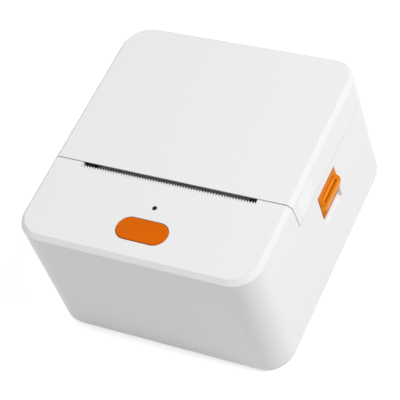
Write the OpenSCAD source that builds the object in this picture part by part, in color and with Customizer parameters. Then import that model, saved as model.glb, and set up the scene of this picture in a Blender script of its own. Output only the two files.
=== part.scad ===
// Desktop thermal label printer: a rounded white case with a flip-up lid, a paper slot with a
// tear bar, a feed button and two side latches, and the print mechanism that it holds.
// Axes: +X to the right, +Y to the rear, +Z up. The origin is on the table under the middle.

/* [Case] */
// Width of the case
body_w = 118; // [114:1:130]
// Depth of the case
body_d = 126; // [122:1:140]
// Height of the case without its feet
body_h = 69; // [67:1:77]
// Radius of the four upright corners
corner_r = 13; // [11:0.5:15]
// Width of the bevel along the top edge
edge_bevel = 2.1; // [1:0.1:3]
// Thickness of the side walls
wall = 2.5; // [2:0.1:3]
// Thickness of the top of the case and of the lid
top_t = 2.2; // [1.8:0.1:2.6]
// Height of the feet
foot_h = 1.5; // [1:0.5:3]
// Radius of a foot
foot_r = 4.5; // [3.5:0.5:5.5]
// Thickness of the base plate
base_t = 2.5; // [2:0.1:3]

/* [Lid] */
// Distance from the front of the case to the seam in front of the lid
lid_front = 43.6; // [42:0.2:45]
// Height of the lid's side walls, measured down from the top
skirt_h = 16; // [15:0.5:18]
// How far the seam leans to the rear on its way down the side
seam_lean = 1.3; // [0:0.1:2]
// Gap between the lid and the case at the seam
seam_gap = 0.4; // [0.3:0.05:0.6]
// Gap under the lid's side walls
skirt_gap = 0.3; // [0.3:0.05:0.6]
// Radius of the rolled rear edge that holds the hinge
roll_r = 5; // [4.8:0.1:5.6]
// Radius of the hinge rod
rod_r = 1.5; // [1.2:0.1:1.8]

/* [Paper path] */
// Width of the paper slot
slot_w = 86.6; // [84:0.2:88]
// Depth of the paper slot, front to back
slot_d = 3; // [2.6:0.1:3.6]
// Pitch of the teeth on the tear bar
tooth_pitch = 1.35; // [1:0.05:2]
// Length of the teeth on the tear bar
tooth_l = 1.3; // [0.8:0.1:1.5]
// Radius of the rubber roller
platen_r = 6; // [5.5:0.1:6.2]
// Length of the rubber roller
platen_l = 76; // [70:1:77]
// Depth of the roller's axis under the top of the case
platen_drop = 8.8; // [8.8:0.1:9.6]
// Distance from the seam back to the roller's axis
platen_back = 4.9; // [4.8:0.1:5.4]
// Widest label roll that the guides take
media_w = 81; // [78:0.5:82]
// Travel of each roll guide
guide_travel = 28; // [20:1:29]

/* [Button and lamp] */
// Length of the feed button
button_l = 24.7; // [20:0.1:30]
// Width of the feed button
button_w = 11.4; // [9:0.1:13]
// Distance from the front of the case to the middle of the button
button_front = 15.5; // [13:0.5:16.5]
// Height of the button over the case
button_proud = 0.4; // [0.2:0.1:1]
// Travel of the button
button_travel = 0.8; // [0.4:0.1:1]
// Radius of the status lamp
lamp_r = 1.15; // [0.8:0.05:1.5]
// Distance from the front of the case to the status lamp
lamp_front = 28; // [27:0.1:28.4]

/* [Latches] */
// Distance of the latch's front edge behind the middle of the case
latch_y = 0.4; // [0:0.1:4]
// Length of the latch
latch_l = 18; // [14:0.5:20]
// Height of the latch's top edge under the top of the case
latch_drop = 20.8; // [20:0.1:22]
// Height of the latch
latch_h = 14.7; // [13:0.1:16]
// How far the latch bulges out of the side
latch_bulge = 2.05; // [1.6:0.05:2.4]
// Distance of the latch's fine ridge under its top edge
ridge_drop = 4.2; // [3.6:0.1:5]
// Radius of that ridge
ridge_r = 0.5; // [0.3:0.05:0.6]
// Height of the finger pocket under the latch
pocket_h = 5.4; // [4:0.1:7]
// Depth of the finger pocket
pocket_d = 1.5; // [1:0.1:1.7]

/* [Print mechanism] */
// Thickness of the mechanism frame's cheeks
frame_t = 1.5; // [1.2:0.1:2]
// Thickness of the label tray
tray_t = 1.6; // [1.2:0.1:2]
// Gap between the label tray and the frame in front of it
tray_gap = 0.9; // [0.6:0.1:2]
// Width of the print head
head_w = 81; // [78:0.5:82]
// Thickness of the print head's ceramic
head_t = 1; // [0.8:0.1:1.2]

/* [Drive] */
// Module of the gears
gear_m = 0.5; // [0.45:0.01:0.52]
// Teeth on the roller's gear
platen_teeth = 17; // [16:1:18]
// Teeth on the idler gear
idler_teeth = 24; // [20:1:26]
// Teeth on the small wheel of the reduction gear
small_teeth = 14; // [14:1:16]
// Teeth on the large wheel of the reduction gear
large_teeth = 36; // [32:1:38]
// Teeth on the motor's pinion
pinion_teeth = 14; // [14:1:16]
// Radius of the motor
motor_r = 15; // [13:0.5:15]
// Length of the motor
motor_l = 18; // [14:1:22]
// Thickness of the gears
gear_t = 1.8; // [1.5:0.1:2]

/* [Hidden] */
$fn = 64;

eps = 0.01;
big = 200;
seat = 0.02;           // radial clearance of a pin or axle that is pressed in
fit = 0.05;            // radial clearance of a pin, shaft or screw in its hole
free = 0.4;            // clearance between pieces that pass each other

shell_white = [0.93, 0.93, 0.93];
accent_orange = [0.87, 0.42, 0.04];
dark_plastic = [0.13, 0.13, 0.14];
steel = [0.72, 0.73, 0.75];
roller_grey = [0.26, 0.26, 0.27];
board_green = [0.05, 0.30, 0.18];
gear_white = [0.85, 0.84, 0.80];
brass = [0.75, 0.60, 0.28];

// Heights are measured from the underside of the case, which stands on the feet.
half_w = body_w / 2;
half_d = body_d / 2;
ceiling = body_h - top_t;
inner_w = half_w - wall;
seam_y = -half_d + lid_front;
skirt_z = body_h - skirt_h;
lid_wall = wall - 0.3;
rim_h = 1.0;                   // visible edge of the base plate
rim_inset = 0.5;
shell_z = rim_h + 0.3;         // lowest edge of the housing

// Hinge
hinge_y = half_d - roll_r;
hinge_z = skirt_z;
ear_x = 37;                    // middle of each hinge ear
ear_t = 6;
ear_r = rod_r + 1.9;
ear_front = hinge_y - roll_r + 0.6;
knuckle_r = roll_r - 0.8;
knuckle_t = 5.6;
rod_l = 2 * (ear_x + ear_t / 2 + free + knuckle_t);
// Half the width of the case where the hinge axis crosses its round corners
corner_x = half_w - corner_r + sqrt(corner_r * corner_r - pow(hinge_y - half_d + corner_r, 2));
roll_end = corner_x - 1.2;

// Slot and tear bar
slot_y = seam_y - seam_gap / 2 - slot_d + 0.2;   // front edge of the slot
bar_t = 0.8;
bar_top = body_h - 0.7;
bar_d = 5;
bar_root = 0.2;                // strip along the slot's edge that the teeth stand on
teeth_top = body_h - 0.1;
lip_t = 0.5;                   // thickness of the lid's edge over the slot
lip_d = 1.6;                   // depth over which the lid thins to it

// Print head and roller
platen_y = seam_y + platen_back;
platen_z = body_h - platen_drop;
head_y = platen_y - platen_r - 0.3;              // face of the print head
sink_t = 4;
groove_w = 2;
sink_top = ceiling - 1.5;
sink_low = platen_z - 12;
head_pin_r = 1.5;
head_pin_y = head_y - head_t - 2;
head_pin_z = platen_z - 10;
sink_front = head_y - head_t - sink_t;
spring_gap = 5.2;
plate_t = 1.5;
spring_x = 22;
spring_z = platen_z - 1.2;
spring_r = 2.6;
wire_r = 0.25;
ribbon_x = [-10, 16];
ribbon_t = 0.3;
ribbon_bend = 9;               // height over which the ribbon crosses to its plug

// Lid liner cheeks, bushings and the frame's cheeks, from the middle outwards
liner_cheek_x = platen_l / 2 + 1.5;
liner_cheek_t = 3;
frame_x = liner_cheek_x + liner_cheek_t + 1;
bushing_r = 3.5;
journal_r = 2;
core_r = 3;                    // steel core of the roller
notch_r = bushing_r + 0.7;
frame_front = sink_front - spring_gap - plate_t;
frame_rear = seam_y + 14.4;
frame_top = platen_z + 0.8;
ribbon_y = frame_front - 2;

// Gear train on the left side: two planes of wheels outside the frame's left cheek
plane_a = frame_x + frame_t + 0.6;               // nearer plane, distance from the middle
plane_b = plane_a + gear_t + free;
stud_end = 0.2;                                  // length of a stud past its wheel
stud_cap_t = 0.4;
stud_cap_r = 1.6;
hub_r = 2.4;
backlash = 0.12;
stud_r = 1;
axle_r = 1.5;
function gear_distance(z1, z2) = (z1 + z2) * gear_m / 2 + 0.05;
idler_angle = -90;
small_angle = 240;
pinion_angle = 253;
idler_y = platen_y + gear_distance(platen_teeth, idler_teeth) * cos(idler_angle);
idler_z = platen_z + gear_distance(platen_teeth, idler_teeth) * sin(idler_angle);
wheel_y = idler_y + gear_distance(idler_teeth, small_teeth) * cos(small_angle);
wheel_z = idler_z + gear_distance(idler_teeth, small_teeth) * sin(small_angle);
motor_y = wheel_y + gear_distance(large_teeth, pinion_teeth) * cos(pinion_angle);
motor_z = wheel_z + gear_distance(large_teeth, pinion_teeth) * sin(pinion_angle);
// Turn of each wheel that puts its teeth into the gaps of the one before it
function mesh_turn(turn, z1, z2, angle) =
    angle + 180 - 180 / z2 + (angle - turn) * z1 / z2;
idler_turn = mesh_turn(0, platen_teeth, idler_teeth, idler_angle);
small_turn = mesh_turn(idler_turn, idler_teeth, small_teeth, small_angle);
pinion_turn = mesh_turn(0, large_teeth, pinion_teeth, pinion_angle);
motor_screw_r = motor_r + 2.5;                   // distance of its screws from its axis
motor_screw_angles = [145, 325];
motor_ear_r = 3.2;
motor_ear_t = 0.8;
motor_boss_r = 5;
motor_head_r = 2.2;
motor_head_t = 1.2;
motor_front = motor_y - motor_screw_r - 2.1;     // front edge of the frame
cross_plate_t = 1.5;
cross_plate_z = [motor_z - 12.6, motor_z + 13.4];

// Label tray, guides and their rack and pinion
tray_front = frame_rear + tray_gap;
tray_back = ear_front - 1.5;
tray_floor = 12;
roll_top = ceiling - 4.3;
guide_rise = 5.5;                                // a guide's radius is this much less than the tray's
tray_room_y = (tray_back - tray_front) / 2 - tray_t;
tray_room_z = (roll_top - tray_floor + guide_rise) / 2;
tray_r = min(tray_room_y, tray_room_z);          // inner radius, from the room for tray and guides
tray_y = tray_front + tray_t + tray_r;
tray_z = tray_floor + tray_r;
tray_lip = tray_z - 2.5;
guide_t = 2;
guide_r = tray_r - guide_rise;
tray_x = media_w / 2 + guide_t + 1.5;
tray_side_t = 1.5;
guide_hole_r = 6;
neck_w = 3.4;
foot_w = 14;
foot_rise = 10;
rack_z = 6.4;
rack_t = 3;
rack_m = 1;
pinion_z = 14;
rack_r = rack_m * pinion_z / 2;
rack_body = 3.1;
rack_slack = 0.25;
post_r = 2;
rail_z = rack_z - 0.3;
rack_edge = rack_r + 1 + rack_body;              // outer edge of a rack from the pinion's axis

// Sloping guide from the tray's lip up to the roller
guide_low = [tray_front - 0.3, tray_lip + 1];
guide_high = [platen_y - 3.4, platen_z - 8.9];
guide_len = norm(guide_high - guide_low);
guide_tilt = atan2(guide_high[1] - guide_low[1], guide_high[0] - guide_low[0]);
guide_plate_t = 1.5;
sensor_low = [-14, 5, 0];                        // label sensor, in the guide's own frame
sensor_high = [-6, 10, 5];

// Boards
board_t = 1.6;
board_z = base_t + 2.5;
board_top = board_z + board_t;
board_left = -frame_x + motor_ear_t + motor_l + 1;
board_right = frame_x - 1.5;
board_front = -half_d + 7;
board_rear = tray_y - rack_edge - 4.9;
boss_r = 2.5;
boss_in = 4;
port_left = -board_right;
port_right = -6;
ribbon_plug_h = 2.4;
ribbon_plug_z = board_top + ribbon_plug_h;
port_front = tray_y + rack_edge + 3.4;
port_rear = half_d - wall - 1;
jack_x = -33;
jack_w = 9;
jack_h = 11;
usb_x = -17;
usb_w = 9;
usb_h = 3.2;
usb_z = board_top + usb_h / 2 + 0.1;
jack_z = board_top + jack_h / 2;
socket_inset = 0.6;            // sockets stop this far inside the rear face

// Button, lamp and their board
button_x = 0.3;
button_y = -half_d + button_front;
button_gap = 0.3;
lamp_x = 0.5;
lamp_y = -half_d + lamp_front;
flange_t = 1.1;
flange_out = 1.2;
flange_top = ceiling - 0.3;
button_board_z = ceiling - 9.8;       // underside of the button board
button_board_t = 1.2;
button_board_top = button_board_z + button_board_t;
switch_h = 3.5;
plunger_r = 1.75;
plunger_h = 1.3;
button_board_x = 20;
button_board_rear = frame_front - 0.8;

// Latches
latch_top = body_h - latch_drop;
latch_low = latch_top - latch_h;
latch_in = 3.8;                // depth of the latch behind the side's face
pin_in = 2.0;                  // depth of its pin behind the side's face
pin_drop = 2.2;
pin_r = 1;
pin_front = latch_y - 1.8;
pin_rear = latch_y + latch_l + 2;
ring_r = 1.25;                 // torsion spring around the pin
ring_wire = 0.2;
ring_l = 3.2;
ring_y = latch_y + 7.4;
window_front = latch_y - 0.5;
window_rear = latch_y + latch_l + 0.4;
window_low = latch_low - 0.6;
pin_z = latch_top - pin_drop;
pin_x = half_w - pin_in;
window_gap = 0.5;
bulge_drop = ridge_drop + 0.3;
ridge_out = 0.75;              // how far the ridge stands out of the side
furrow_r = 0.45;               // furrows above and below the ridge
furrow_drops = [ridge_drop - 1.3, ridge_drop + 1.05];
tongue_x = half_w - 6.8;
tongue_t = 2;
tongue_y = latch_y + 3.6;
tongue_l = latch_l - 7;

// Screws
post_x = half_w - 8;
post_y = half_d - 8;
post_out = 4;
post_z = 4;
screw_r = 1.2;
screw_head_r = 2.7;
screw_l = 9;
rear_post_top = hinge_z - roll_r - 1.5;
foot_x = half_w - 16;
foot_y = half_d - 17;
frame_head_r = 2.2;
tab_y = frame_front + 6.5;
tab_w = 5;
tab_t = 1.5;
tab_x = frame_x + frame_t + tab_w / 2;
liner_screw_x = liner_cheek_x + liner_cheek_t + 3.5;
liner_screw_ys = [frame_rear + 4, hinge_y - 16];
liner_head_r = 2.3;
liner_t = 1.4;
liner_rear = hinge_y - 6;

// ---------------------------------------------------------------- shared shapes

// Everything but the feet stands on the feet
module on_feet() {
    translate([0, 0, foot_h]) children();
}

// An X-directed cylinder from x0 to x1
module along_x(r, x0, x1, y = 0, z = 0) {
    translate([min(x0, x1), y, z]) rotate([0, 90, 0]) cylinder(r = r, h = abs(x1 - x0));
}

// A Y-directed cylinder from y0 to y1
module along_y(r, y0, y1, x = 0, z = 0) {
    translate([x, max(y0, y1), z]) rotate([90, 0, 0]) cylinder(r = r, h = abs(y1 - y0));
}

// A box between two opposite corners
module block(low, high) {
    translate(low) cube(high - low);
}

// A (y, z) outline swept along X from x0 to x1
module side_sweep(x0, x1) {
    translate([min(x0, x1), 0, 0]) rotate([90, 0, 90])
        linear_extrude(abs(x1 - x0)) children();
}

module mirrored_x() {
    children();
    mirror([1, 0, 0]) children();
}

// Section of the bevelled block from its corner axis outwards
module rim_section(r, h, e) {
    polygon([[0, 0], [r, 0], [r, h - e], [r - e, h], [0, h]]);
}

// A block with round upright corners and a bevelled top edge
module rounded_block(w, d, h, r, e) {
    cw = w / 2 - r;
    cd = d / 2 - r;
    translate([-cw, -cd, 0]) cube([2 * cw, 2 * cd, h]);
    for (k = [0:3]) {
        a = k % 2 == 0 ? cw : cd;
        b = k % 2 == 0 ? cd : cw;
        rotate([0, 0, 90 * k]) translate([a, b, 0]) {
            rotate([90, 0, 0]) linear_extrude(2 * b) rim_section(r, h, e);
            rotate_extrude(angle = 90) rim_section(r, h, e);
        }
    }
}

// A flat plate with round corners
module rounded_plate(w, d, t, r) {
    cw = w / 2 - r;
    cd = d / 2 - r;
    translate([-w / 2, -cd, 0]) cube([w, 2 * cd, t]);
    translate([-cw, -d / 2, 0]) cube([2 * cw, d, t]);
    for (x = [-cw, cw], y = [-cd, cd]) translate([x, y, 0]) cylinder(r = r, h = t);
}

// A bar with round ends, lying along X
module stadium(l, w, t) {
    translate([-(l - w) / 2, -w / 2, 0]) cube([l - w, w, t]);
    for (x = [-(l - w) / 2, (l - w) / 2]) translate([x, 0, 0]) cylinder(r = w / 2, h = t);
}

// Outline of an involute spur gear, with a tooth centred on +X
function involute_angle(r, rb) = let (t = sqrt(max(0, r * r / (rb * rb) - 1))) t * 180 / PI - atan(t);
module gear_outline(z, m, slack) {
    rp = z * m / 2;
    rb = rp * cos(20);
    root = rp - 1.2 * m;
    tip = rp + 0.85 * m;
    half = 90 / z - slack / 2 / rp * 180 / PI;
    levels = [root, max(root + eps, rb), (rb + rp) / 2 + 0.1 * m, rp + 0.3 * m, tip];
    width = [for (r = levels) half + involute_angle(rp, rb) - involute_angle(max(r, rb), rb)];
    n = len(levels);
    points = [
        for (i = [0:z - 1]) let (c = 360 * i / z) each concat(
            [for (k = [0:n - 1]) levels[k] * [cos(c - width[k]), sin(c - width[k])]],
            [for (k = [n - 1:-1:0]) levels[k] * [cos(c + width[k]), sin(c + width[k])]]
        )
    ];
    polygon(points);
}

// A spur gear on an X-directed axle on the left side: plane is its inner face's distance
module left_gear(z, y, zc, turn, plane, bore) {
    translate([-plane - gear_t, y, zc]) rotate([90, 0, 90]) difference() {
        linear_extrude(gear_t) rotate(turn) gear_outline(z, gear_m, backlash);
        translate([0, 0, -1]) cylinder(r = bore, h = gear_t + 2);
    }
}

// A round wire coil along +Z
module coil(r, wire, length, turns) {
    sides = 6;
    steps = 12;
    count = turns * steps;
    rise = (length - 2 * wire) / count;
    ring = [
        for (i = [0:count]) let (a = 360 * i / steps) [
            for (k = [0:sides - 1]) let (b = 360 * k / sides) [
                (r + wire * cos(b)) * cos(a),
                (r + wire * cos(b)) * sin(a),
                wire + rise * i + wire * sin(b),
            ],
        ],
    ];
    points = [for (section = ring, p = section) p];
    walls = [
        for (i = [0:count - 1], k = [0:sides - 1]) let (n = (k + 1) % sides)
            [i * sides + k, (i + 1) * sides + k, (i + 1) * sides + n, i * sides + n],
    ];
    first = [for (k = [0:sides - 1]) k];
    last = [for (k = [sides - 1:-1:0]) count * sides + k];
    polyhedron(points, concat(walls, [first], [last]));
}

// ---------------------------------------------------------------- case

module case_block() {
    rounded_block(body_w, body_d, body_h, corner_r, edge_bevel);
}

module case_cavity() {
    translate([0, 0, -1])
        rounded_block(2 * inner_w, body_d - 2 * wall, ceiling + 1, corner_r - wall, 1);
}

// The space above and behind the seam line, moved back by shift and up by lift
module lid_space(shift, lift) {
    side_sweep(-big, big) polygon([
        [seam_y + shift, body_h + 1],
        [seam_y + shift, body_h],
        [seam_y + seam_lean + shift, skirt_z + lift],
        [half_d + 1, skirt_z + lift],
        [half_d + 1, body_h + 1],
    ]);
}

module screw_post(height) {
    translate([post_x, post_y, post_z]) cylinder(r = post_out, h = height - post_z);
}

// Room for the screw posts, which a narrow case brings up to its boards and tray
module post_clearance() {
    four_corners() translate([post_x, post_y, -1]) cylinder(r = post_out + free, h = big);
}

module screw_bore(r, h) {
    translate([post_x, post_y, -1]) cylinder(r = r, h = h + 1);
}

module four_corners() {
    for (x = [0, 1], y = [0, 1]) mirror([x, 0, 0]) mirror([0, y, 0]) children();
}

module hinge_ear() {
    difference() {
        union() {
            along_x(ear_r, ear_x - ear_t / 2, ear_x + ear_t / 2, hinge_y, hinge_z);
            block([ear_x - ear_t / 2, ear_front, hinge_z - 10],
                  [ear_x + ear_t / 2, hinge_y - 0.5, hinge_z]);
            block([ear_x - ear_t / 2, ear_front, hinge_z - 16],
                  [ear_x + ear_t / 2, half_d - wall / 2, hinge_z - roll_r - 0.7]);
        }
        along_x(rod_r, 0, big, hinge_y, hinge_z);
    }
}

// Window for the latch, with its finger pocket below
module latch_window() {
    block([half_w - wall - 1, window_front, window_low], [half_w + 1, window_rear, latch_top + window_gap]);
    block([half_w - pocket_d, window_front, window_low - pocket_h], [half_w + 1, window_rear, latch_low]);
}

module latch_boss() {
    boss = 2.4;
    for (y = [window_front - boss, window_rear])
        block([half_w - latch_in, y, pin_z - 2.2], [half_w - wall / 2, y + boss, pin_z + 2.2]);
}

// Rib inside the side wall that the lid's skirt closes over
module side_lip() {
    lip_z = skirt_z - skirt_gap;
    front = seam_y + 6;
    rear = half_d - 22;
    block([inner_w - 1.1, front, lip_z - 2.4], [inner_w + eps, rear, lip_z]);
    block([inner_w - 1.1, front, lip_z - eps], [inner_w - 0.1, rear, lip_z + 2.8]);
}

module main_housing() color(shell_white) on_feet() {
    difference() {
        union() {
            difference() {
                case_block();
                case_cavity();
                translate([0, 0, -1]) cube([big, big, 2 * (shell_z + 1)], center = true);
                lid_space(-seam_gap / 2, -skirt_gap);
                block([-big, hinge_y, hinge_z - roll_r - 0.5], [big, big, big]);
                along_x(roll_r + 0.5, -roll_end - free, roll_end + free, hinge_y, hinge_z);
            }
            intersection() {
                case_block();
                union() {
                    for (x = [0, 1]) mirror([x, 0, 0]) {
                        screw_post(rear_post_top);
                        mirror([0, 1, 0]) screw_post(ceiling + eps);
                    }
                    mirrored_x() {
                        hinge_ear();
                        latch_boss();
                        side_lip();
                    }
                    for (x = [-17, 17], y = [button_y - 8.5, button_board_rear - 3])
                        translate([x, y, button_board_top])
                            cylinder(r = 2, h = ceiling - button_board_top + eps);
                }
            }
        }
        mirrored_x() {
            latch_window();
            along_y(pin_r, pin_front, pin_rear, pin_x, pin_z);
        }
        four_corners() screw_bore(screw_r, screw_l + 4);
        block([-slot_w / 2, slot_y, ceiling - 1], [slot_w / 2, seam_y, body_h + 1]);
        block([-slot_w / 2, slot_y - bar_d, bar_top - bar_t], [slot_w / 2, slot_y + 1, bar_top]);
        translate([button_x, button_y, ceiling - 1])
            stadium(button_l + 2 * button_gap, button_w + 2 * button_gap, top_t + 2);
        translate([lamp_x, lamp_y, ceiling - 1]) cylinder(r = lamp_r, h = top_t + 2);
        along_y(jack_w / 2 + 0.2, half_d - wall - 1, half_d + 1, jack_x, jack_z);
        usb_opening();
    }
}

module usb_opening() {
    translate([usb_x, half_d + 1, usb_z]) rotate([90, 0, 0])
        stadium(usb_w + 0.6, usb_h + 0.6, wall + 2);
}

module base_plate() color(shell_white) on_feet() {
    inset = wall + 0.3;
    difference() {
        union() {
            rounded_plate(body_w - 2 * rim_inset, body_d - 2 * rim_inset, rim_h, corner_r - rim_inset);
            rounded_plate(body_w - 2 * inset, body_d - 2 * inset, base_t, corner_r - inset);
            intersection() {
                rounded_plate(body_w - 2 * inset, body_d - 2 * inset, post_z, corner_r - inset);
                four_corners() translate([post_x, post_y, 0]) cylinder(r = post_out, h = post_z);
            }
            for (x = [board_left + boss_in, board_right - boss_in])
                for (y = [board_front + boss_in, board_rear - boss_in]) board_boss(x, y);
            for (x = [port_left + boss_in, port_right - boss_in]) board_boss(x, port_front + boss_in);
            for (side = [-1, 1])
                translate([0, tray_y + side * (rack_edge - rack_body / 2), rail_z / 2])
                    cube([2 * tray_x - 2, rack_body, rail_z], center = true);
            translate([0, tray_y, 0]) cylinder(r = 3.5, h = rail_z);
            translate([0, tray_y, 0]) cylinder(r = post_r - fit, h = tray_floor - tray_t - 0.3);
        }
        four_corners() {
            screw_bore(screw_r + 0.3, post_z + 1);
            translate([post_x, post_y, -1]) cylinder(r = screw_head_r + 0.3, h = 3.2);
            translate([foot_x, foot_y, -1]) cylinder(r = foot_r, h = 1.8);
        }
        mirrored_x() translate([tab_x, tab_y, 0.5]) cylinder(r = screw_r, h = 10);
    }
}

// Boss that a board stands on
module board_boss(x, y) {
    translate([x, y, 0]) cylinder(r = boss_r, h = board_z);
}

module rubber_feet() color(dark_plastic) {
    four_corners() translate([foot_x, foot_y, 0]) cylinder(r = foot_r - fit, h = foot_h + 0.8);
}

module base_screws() color(steel) on_feet() {
    four_corners() translate([post_x, post_y, 0.6]) difference() {
        union() {
            cylinder(r = screw_head_r, h = 1.6);
            cylinder(r = screw_r - fit, h = screw_l);
        }
        translate([0, 0, -1]) cylinder(r = 1.1, h = 1.9, $fn = 6);
    }
}

// ---------------------------------------------------------------- label tray and guides

module roll_tray() color(dark_plastic) on_feet() {
    difference() {
        union() {
            intersection() {
                along_x(tray_r + tray_t, -tray_x, tray_x, tray_y, tray_z);
                block([-big, -big, 0], [big, big, tray_lip]);
            }
            mirrored_x() side_sweep(tray_x, tray_x + tray_side_t) polygon([
                [tray_y - tray_r + 1.5, base_t],
                [tray_y + tray_r - 1.5, base_t],
                [tray_y + tray_r + 0.5, tray_z - 2],
                [tray_y + tray_r - 3, tray_z + 8],
                [tray_y - tray_r + 3, tray_z + 8],
                [tray_y - tray_r - 0.5, tray_z - 2],
            ]);
        }
        along_x(tray_r, -tray_x, tray_x, tray_y, tray_z);
        mirrored_x() block([media_w / 2 - guide_travel - free, tray_y - 2, 0],
                           [media_w / 2 + guide_t + free, tray_y + 2, tray_floor + 1]);
        post_clearance();
    }
}

// The left guide: a disc that the roll leans on, with a neck that stands in its rack
module roll_guide() {
    inner = media_w / 2;
    side_sweep(-inner - guide_t, -inner) difference() {
        union() {
            intersection() {
                translate([tray_y, tray_z]) circle(r = guide_r);
                translate([tray_y - guide_r, tray_floor + 1]) square([2 * guide_r, 2 * guide_r]);
            }
            intersection() {
                translate([tray_y, tray_z]) circle(r = tray_r - fit);
                translate([tray_y - foot_w / 2, tray_floor + 1]) square([foot_w, foot_rise]);
            }
            translate([tray_y - neck_w / 2, rack_z]) square([neck_w, tray_floor - rack_z + foot_rise / 2]);
        }
        translate([tray_y, tray_z + 2]) circle(r = guide_hole_r);
    }
}

// The left guide's rack, which runs in front of the pinion, with the socket for the neck
module guide_rack() {
    inner = media_w / 2;
    outer = inner + guide_t;
    pitch = rack_m * PI;
    root = tray_y - rack_r - 1;
    tip = tray_y - rack_r + 0.8;
    half_tooth = pitch / 4 - rack_slack / 4;
    socket_t = 1;
    translate([0, 0, rack_z]) linear_extrude(rack_t) difference() {
        union() {
            translate([-outer - socket_t, root - rack_body]) square([outer + socket_t + 4, rack_body]);
            translate([-outer - socket_t, root - eps])
                square([guide_t + 2 * socket_t, tray_y + neck_w / 2 + socket_t - root]);
            for (k = [-floor((guide_travel + 3) / pitch):0]) let (c = (k + 0.5) * pitch) polygon([
                [c - half_tooth - 0.42, root - eps],
                [c + half_tooth + 0.42, root - eps],
                [c + half_tooth - 0.30, tip],
                [c - half_tooth + 0.30, tip],
            ]);
        }
        translate([-outer - seat, tray_y - neck_w / 2 - seat])
            square([guide_t + 2 * seat, neck_w + 2 * seat]);
    }
}

// Half a turn about the pinion's axis, which makes a left piece a right one
module turned_round() {
    translate([0, tray_y, 0]) rotate([0, 0, 180]) translate([0, -tray_y, 0]) children();
}

module roll_guide_left() color(gear_white) on_feet() roll_guide();

module roll_guide_right() color(gear_white) on_feet() turned_round() roll_guide();

module guide_rack_left() color(gear_white) on_feet() guide_rack();

module guide_rack_right() color(gear_white) on_feet() turned_round() guide_rack();

module guide_pinion() color(gear_white) on_feet() {
    translate([0, tray_y, rack_z]) difference() {
        linear_extrude(rack_t) rotate(90) gear_outline(pinion_z, rack_m, rack_slack);
        translate([0, 0, -1]) cylinder(r = post_r, h = rack_t + 2);
    }
}

// ---------------------------------------------------------------- print mechanism

module frame_cheek() {
    side_sweep(frame_x, frame_x + frame_t) difference() {
        polygon([
            [motor_front, base_t],
            [frame_rear, base_t],
            [frame_rear, frame_top],
            [frame_front, frame_top],
            [frame_front, motor_z + motor_r + 4],
            [motor_front, motor_z + motor_r],
        ]);
        translate([platen_y, platen_z]) circle(r = notch_r);
        translate([platen_y - notch_r, platen_z]) square([2 * notch_r, big]);
        translate([head_pin_y, head_pin_z]) circle(r = head_pin_r + seat);
    }
    translate([frame_x + frame_t - eps, tab_y - tab_w / 2, base_t]) cube([tab_w, tab_w, tab_t]);
}

module mechanism_frame() color(steel) on_feet() {
    difference() {
        union() {
            mirrored_x() frame_cheek();
            block([-frame_x - eps, motor_front, cross_plate_z[0]],
                  [frame_x + eps, motor_front + cross_plate_t, cross_plate_z[1]]);
        }
        along_x(motor_boss_r + fit, -big, 0, motor_y, motor_z);
        at_motor_screws() along_x(screw_r, -big, 0);
        along_x(stud_r, -big, 0, idler_y, idler_z);
        along_x(stud_r, -big, 0, wheel_y, wheel_z);
        mirrored_x() translate([tab_x, tab_y, 0]) cylinder(r = screw_r, h = 10);
    }
}

module frame_screws() color(steel) on_feet() {
    tip = 0.6;
    mirrored_x() translate([tab_x, tab_y, 0]) {
        translate([0, 0, base_t + tab_t]) cylinder(r = frame_head_r, h = 1.4);
        translate([0, 0, tip]) cylinder(r = screw_r - fit, h = base_t + tab_t - tip + eps);
    }
}

// Frame of the sloping guide: local Y climbs to the front, local Z points under the plate
module on_guide() {
    translate([0, guide_low[0], guide_low[1]]) rotate([guide_tilt, 0, 0]) children();
}

module media_guide() color(dark_plastic) on_feet() on_guide() difference() {
    translate([-frame_x, 0, 0]) cube([2 * frame_x, guide_len, guide_plate_t]);
    block(sensor_low - [0, 0, 1], sensor_high);
}

module label_sensor() color(dark_plastic) on_feet() on_guide() block(sensor_low, sensor_high);

module spring_plate() color(steel) on_feet() {
    plate_y = sink_front - spring_gap;
    block([-frame_x, plate_y - plate_t, head_pin_z + 0.5], [frame_x, plate_y, sink_top]);
    for (x = [-spring_x, spring_x]) along_y(1.9, plate_y - eps, plate_y + 1.2, x, spring_z);
}

module head_springs() color(steel) on_feet() {
    for (x = [-spring_x, spring_x])
        translate([x, sink_front, spring_z]) rotate([90, 0, 0]) coil(spring_r, wire_r, spring_gap, 5);
}

module head_pin() color(steel) on_feet()
    along_x(head_pin_r, -frame_x - frame_t, frame_x + frame_t, head_pin_y, head_pin_z);

module head_heat_sink() color([0.6, 0.61, 0.63]) on_feet() difference() {
    block([-head_w / 2, sink_front, sink_low], [head_w / 2, head_y - head_t, sink_top]);
    along_x(head_pin_r + fit, -big, big, head_pin_y, head_pin_z);
    for (x = [-34:4:34]) if (abs(abs(x) - spring_x) > spring_r + 2.4)
        block([x - groove_w / 2, sink_front - 1, platen_z - 5],
              [x + groove_w / 2, sink_front + 1.6, sink_top + 1]);
}

module thermal_head() color([0.86, 0.84, 0.80]) on_feet()
    block([-head_w / 2, head_y - head_t, platen_z - 7.2], [head_w / 2, head_y, sink_top]);

module head_driver_cover() color(dark_plastic) on_feet()
    block([-head_w / 2 + 3, head_y, platen_z - 6.4], [head_w / 2 - 3, head_y + 0.6, platen_z - 3.9]);

module head_ribbon() color([0.85, 0.72, 0.45]) on_feet()
    side_sweep(ribbon_x[0], ribbon_x[1]) polygon([
        [sink_front, sink_low - free],
        [sink_front + 1.3 * ribbon_t, sink_low - free],
        [ribbon_y + ribbon_t, sink_low - ribbon_bend - ribbon_t / 3],
        [ribbon_y + ribbon_t, ribbon_plug_z],
        [ribbon_y, ribbon_plug_z],
        [ribbon_y, sink_low - ribbon_bend],
    ]);

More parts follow.
